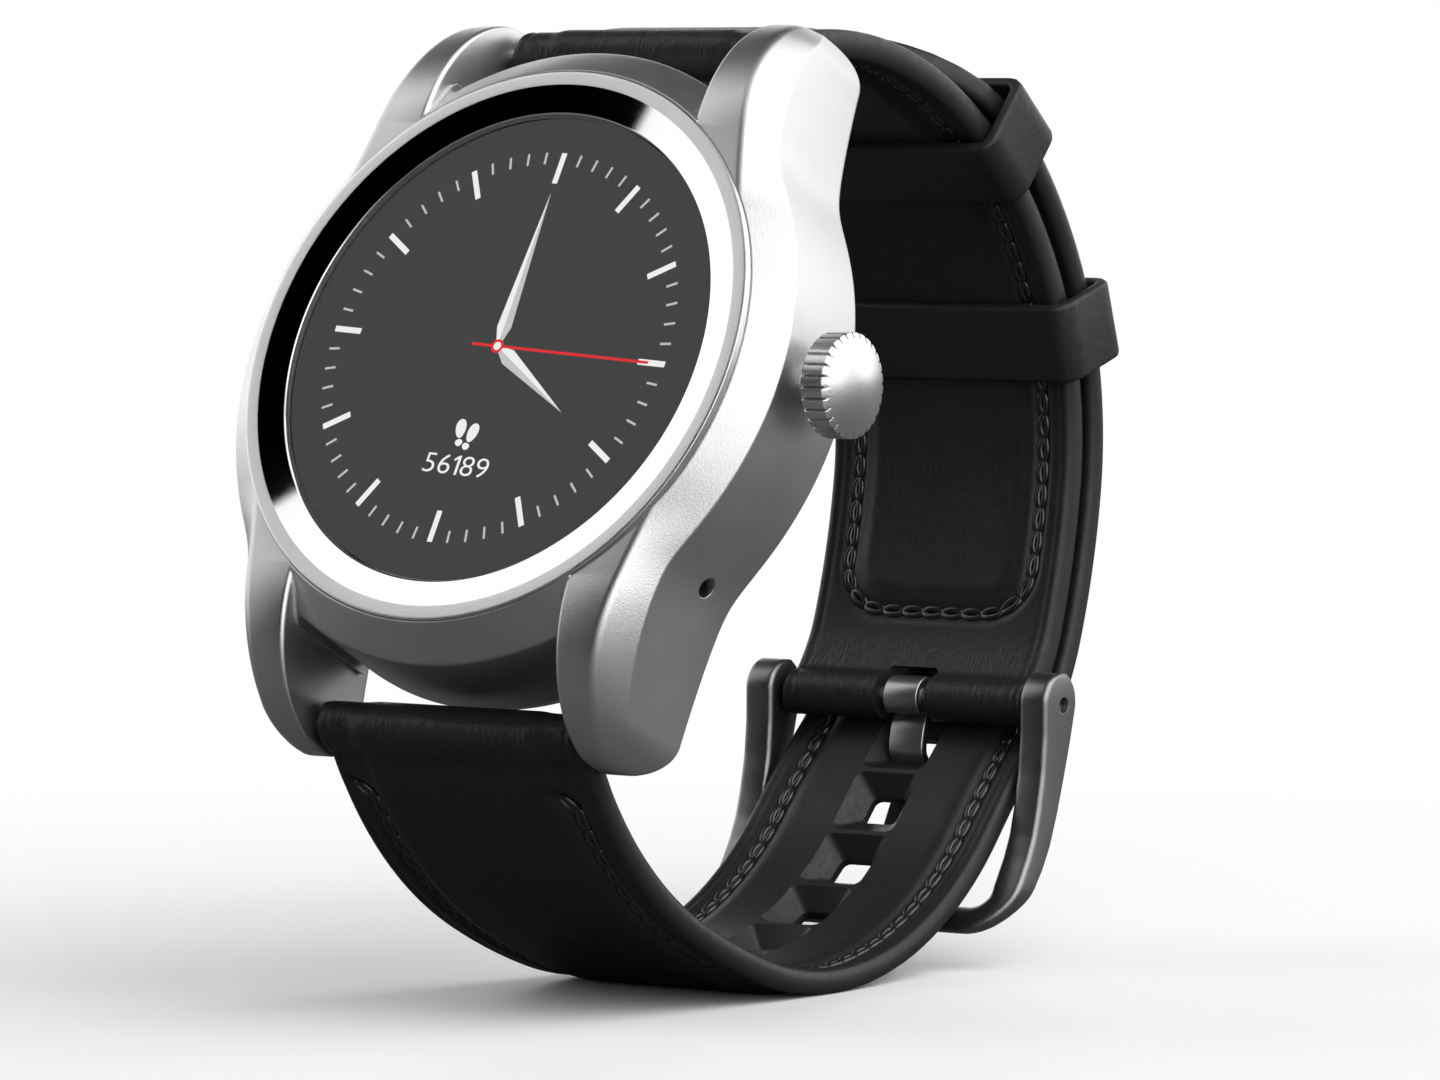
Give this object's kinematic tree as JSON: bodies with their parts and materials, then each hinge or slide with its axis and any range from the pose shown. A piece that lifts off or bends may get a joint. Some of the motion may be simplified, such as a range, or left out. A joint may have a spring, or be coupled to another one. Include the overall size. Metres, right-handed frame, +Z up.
{
  "type": "smartwatch",
  "caption": "Round smartwatch with a lit analogue dial, a push crown, and a buckled black strap with two keepers, standing on its strap loop.",
  "frame": {"origin": "on the watch's middle plane, at the point of the strap loop that rests on the table", "axes": "+X towards 3 o'clock and the crown, +Y away from the dial, +Z up"},
  "size_m": [0.0481, 0.0664, 0.0648],
  "materials": {
    "case_steel": "fine bead-blasted steel",
    "bezel_steel": "satin top face, polished inner bevel",
    "crystal_glass": "clear, polished",
    "gasket_black": "matt",
    "display": "lit display behind the crystal",
    "chassis_plastic": "moulded, matt",
    "board_green": "solder mask",
    "chip_black": "moulded packages",
    "battery_foil": "foil pouch",
    "motor_can": "drawn can",
    "mic_can": "plated can",
    "mesh_black": "woven mesh",
    "back_plastic": "fine matt, glass filled",
    "gasket_back": "matt",
    "sensor_glass": "dark, glossy",
    "sensor_board": "solder mask",
    "sensor_led": "clear lenses",
    "contact_gold": "plated, satin",
    "screw_steel": "blackened",
    "crown_steel": "satin, cut flutes",
    "stem_steel": "ground",
    "seal_black": "matt",
    "tube_steel": "turned",
    "clip_steel": "spring steel",
    "pad_white": "moulded",
    "switch_black": "moulded",
    "bar_steel": "drawn tube",
    "bar_tip_steel": "turned",
    "bar_spring_steel": "spring wire",
    "buckle_bar_steel": "drawn tube",
    "buckle_tip_steel": "turned",
    "buckle_spring_steel": "spring wire",
    "strap_long_black": "moulded with a fine leather grain",
    "strap_short_black": "moulded with a fine leather grain",
    "keeper_upper_black": "fine leather grain",
    "keeper_lower_black": "fine leather grain",
    "buckle_steel": "satin gunmetal",
    "tongue_steel": "satin"
  },
  "bodies": {
    "watch": {"mid_case": "case_steel", "bezel_ring": "bezel_steel", "crystal": "crystal_glass", "crystal_gasket": "gasket_black", "display_module": "display", "inner_chassis": "chassis_plastic", "main_board": "board_green", "board_chips": "chip_black", "battery": "battery_foil", "vibration_motor": "motor_can", "mic_module": "mic_can", "mic_mesh": "mesh_black", "back_cover": "back_plastic", "back_gasket": "gasket_back", "sensor_window": "sensor_glass", "sensor_board": "sensor_board", "sensor_leds": "sensor_led", "charge_contacts": "contact_gold", "case_screws": "screw_steel", "crown_tube": "tube_steel", "crown_switch": "switch_black", "spring_bar_tubes": "bar_steel", "spring_bar_tips": "bar_tip_steel", "spring_bar_springs": "bar_spring_steel"},
    "crown_carrier": {"crown_clip": "clip_steel", "push_pad": "pad_white"},
    "crown": {"crown_cap": "crown_steel", "crown_stem": "stem_steel", "crown_seals": "seal_black"},
    "long_strap": {"strap_long": "strap_long_black"},
    "short_strap": {"strap_short": "strap_short_black", "buckle_bar_tube": "buckle_bar_steel", "buckle_bar_tips": "buckle_tip_steel", "buckle_bar_spring": "buckle_spring_steel"},
    "upper_keeper": {"keeper_upper": "keeper_upper_black"},
    "lower_keeper": {"keeper_lower": "keeper_lower_black"},
    "buckle": {"buckle_frame": "buckle_steel"},
    "tongue": {"buckle_tongue": "tongue_steel"}
  },
  "joints": [
    {"name": "crown_press", "type": "slide", "parent": "watch", "child": "crown_carrier", "axis": [-1, 0, 0], "range_m": [0, 0.0004], "stiffness_N_per_m": 5000, "springref_m": -0.0002},
    {"name": "crown_spin", "type": "hinge", "parent": "crown_carrier", "child": "crown", "pos_m": [0, -0.01953, 0.04175], "axis": [1, 0, 0], "continuous": true},
    {"name": "short_strap_hinge", "type": "hinge", "parent": "watch", "child": "short_strap", "pos_m": [0, -0.00722, 0.0628], "axis": [1, 0, 0], "range_deg": [-0.25, 0.5]},
    {"name": "long_strap_hinge", "type": "hinge", "parent": "watch", "child": "long_strap", "pos_m": [0, -0.02814, 0.01894], "axis": [1, 0, 0], "range_deg": [-0.415, 0.2075]},
    {"name": "upper_keeper_slide", "type": "hinge", "parent": "short_strap", "child": "upper_keeper", "pos_m": [0, -0.00031, 0.03361], "axis": [1, 0, 0], "range_deg": [-9, 9]},
    {"name": "lower_keeper_slide", "type": "hinge", "parent": "short_strap", "child": "lower_keeper", "pos_m": [0, 0.00491, 0.03612], "axis": [1, 0, 0], "range_deg": [-15, 1.4]},
    {"name": "buckle_hinge", "type": "hinge", "parent": "short_strap", "child": "buckle", "pos_m": [0, 0.02339, 0.01803], "axis": [1, 0, 0], "range_deg": [-3, 0]},
    {"name": "tongue_hinge", "type": "hinge", "parent": "short_strap", "child": "tongue", "pos_m": [0, 0.02339, 0.01803], "axis": [1, 0, 0], "range_deg": [0, 2.5]}
  ],
  "couplings": [
    {"joint": "long_strap_hinge", "follows": "short_strap_hinge", "ratio": -0.83}
  ]
}
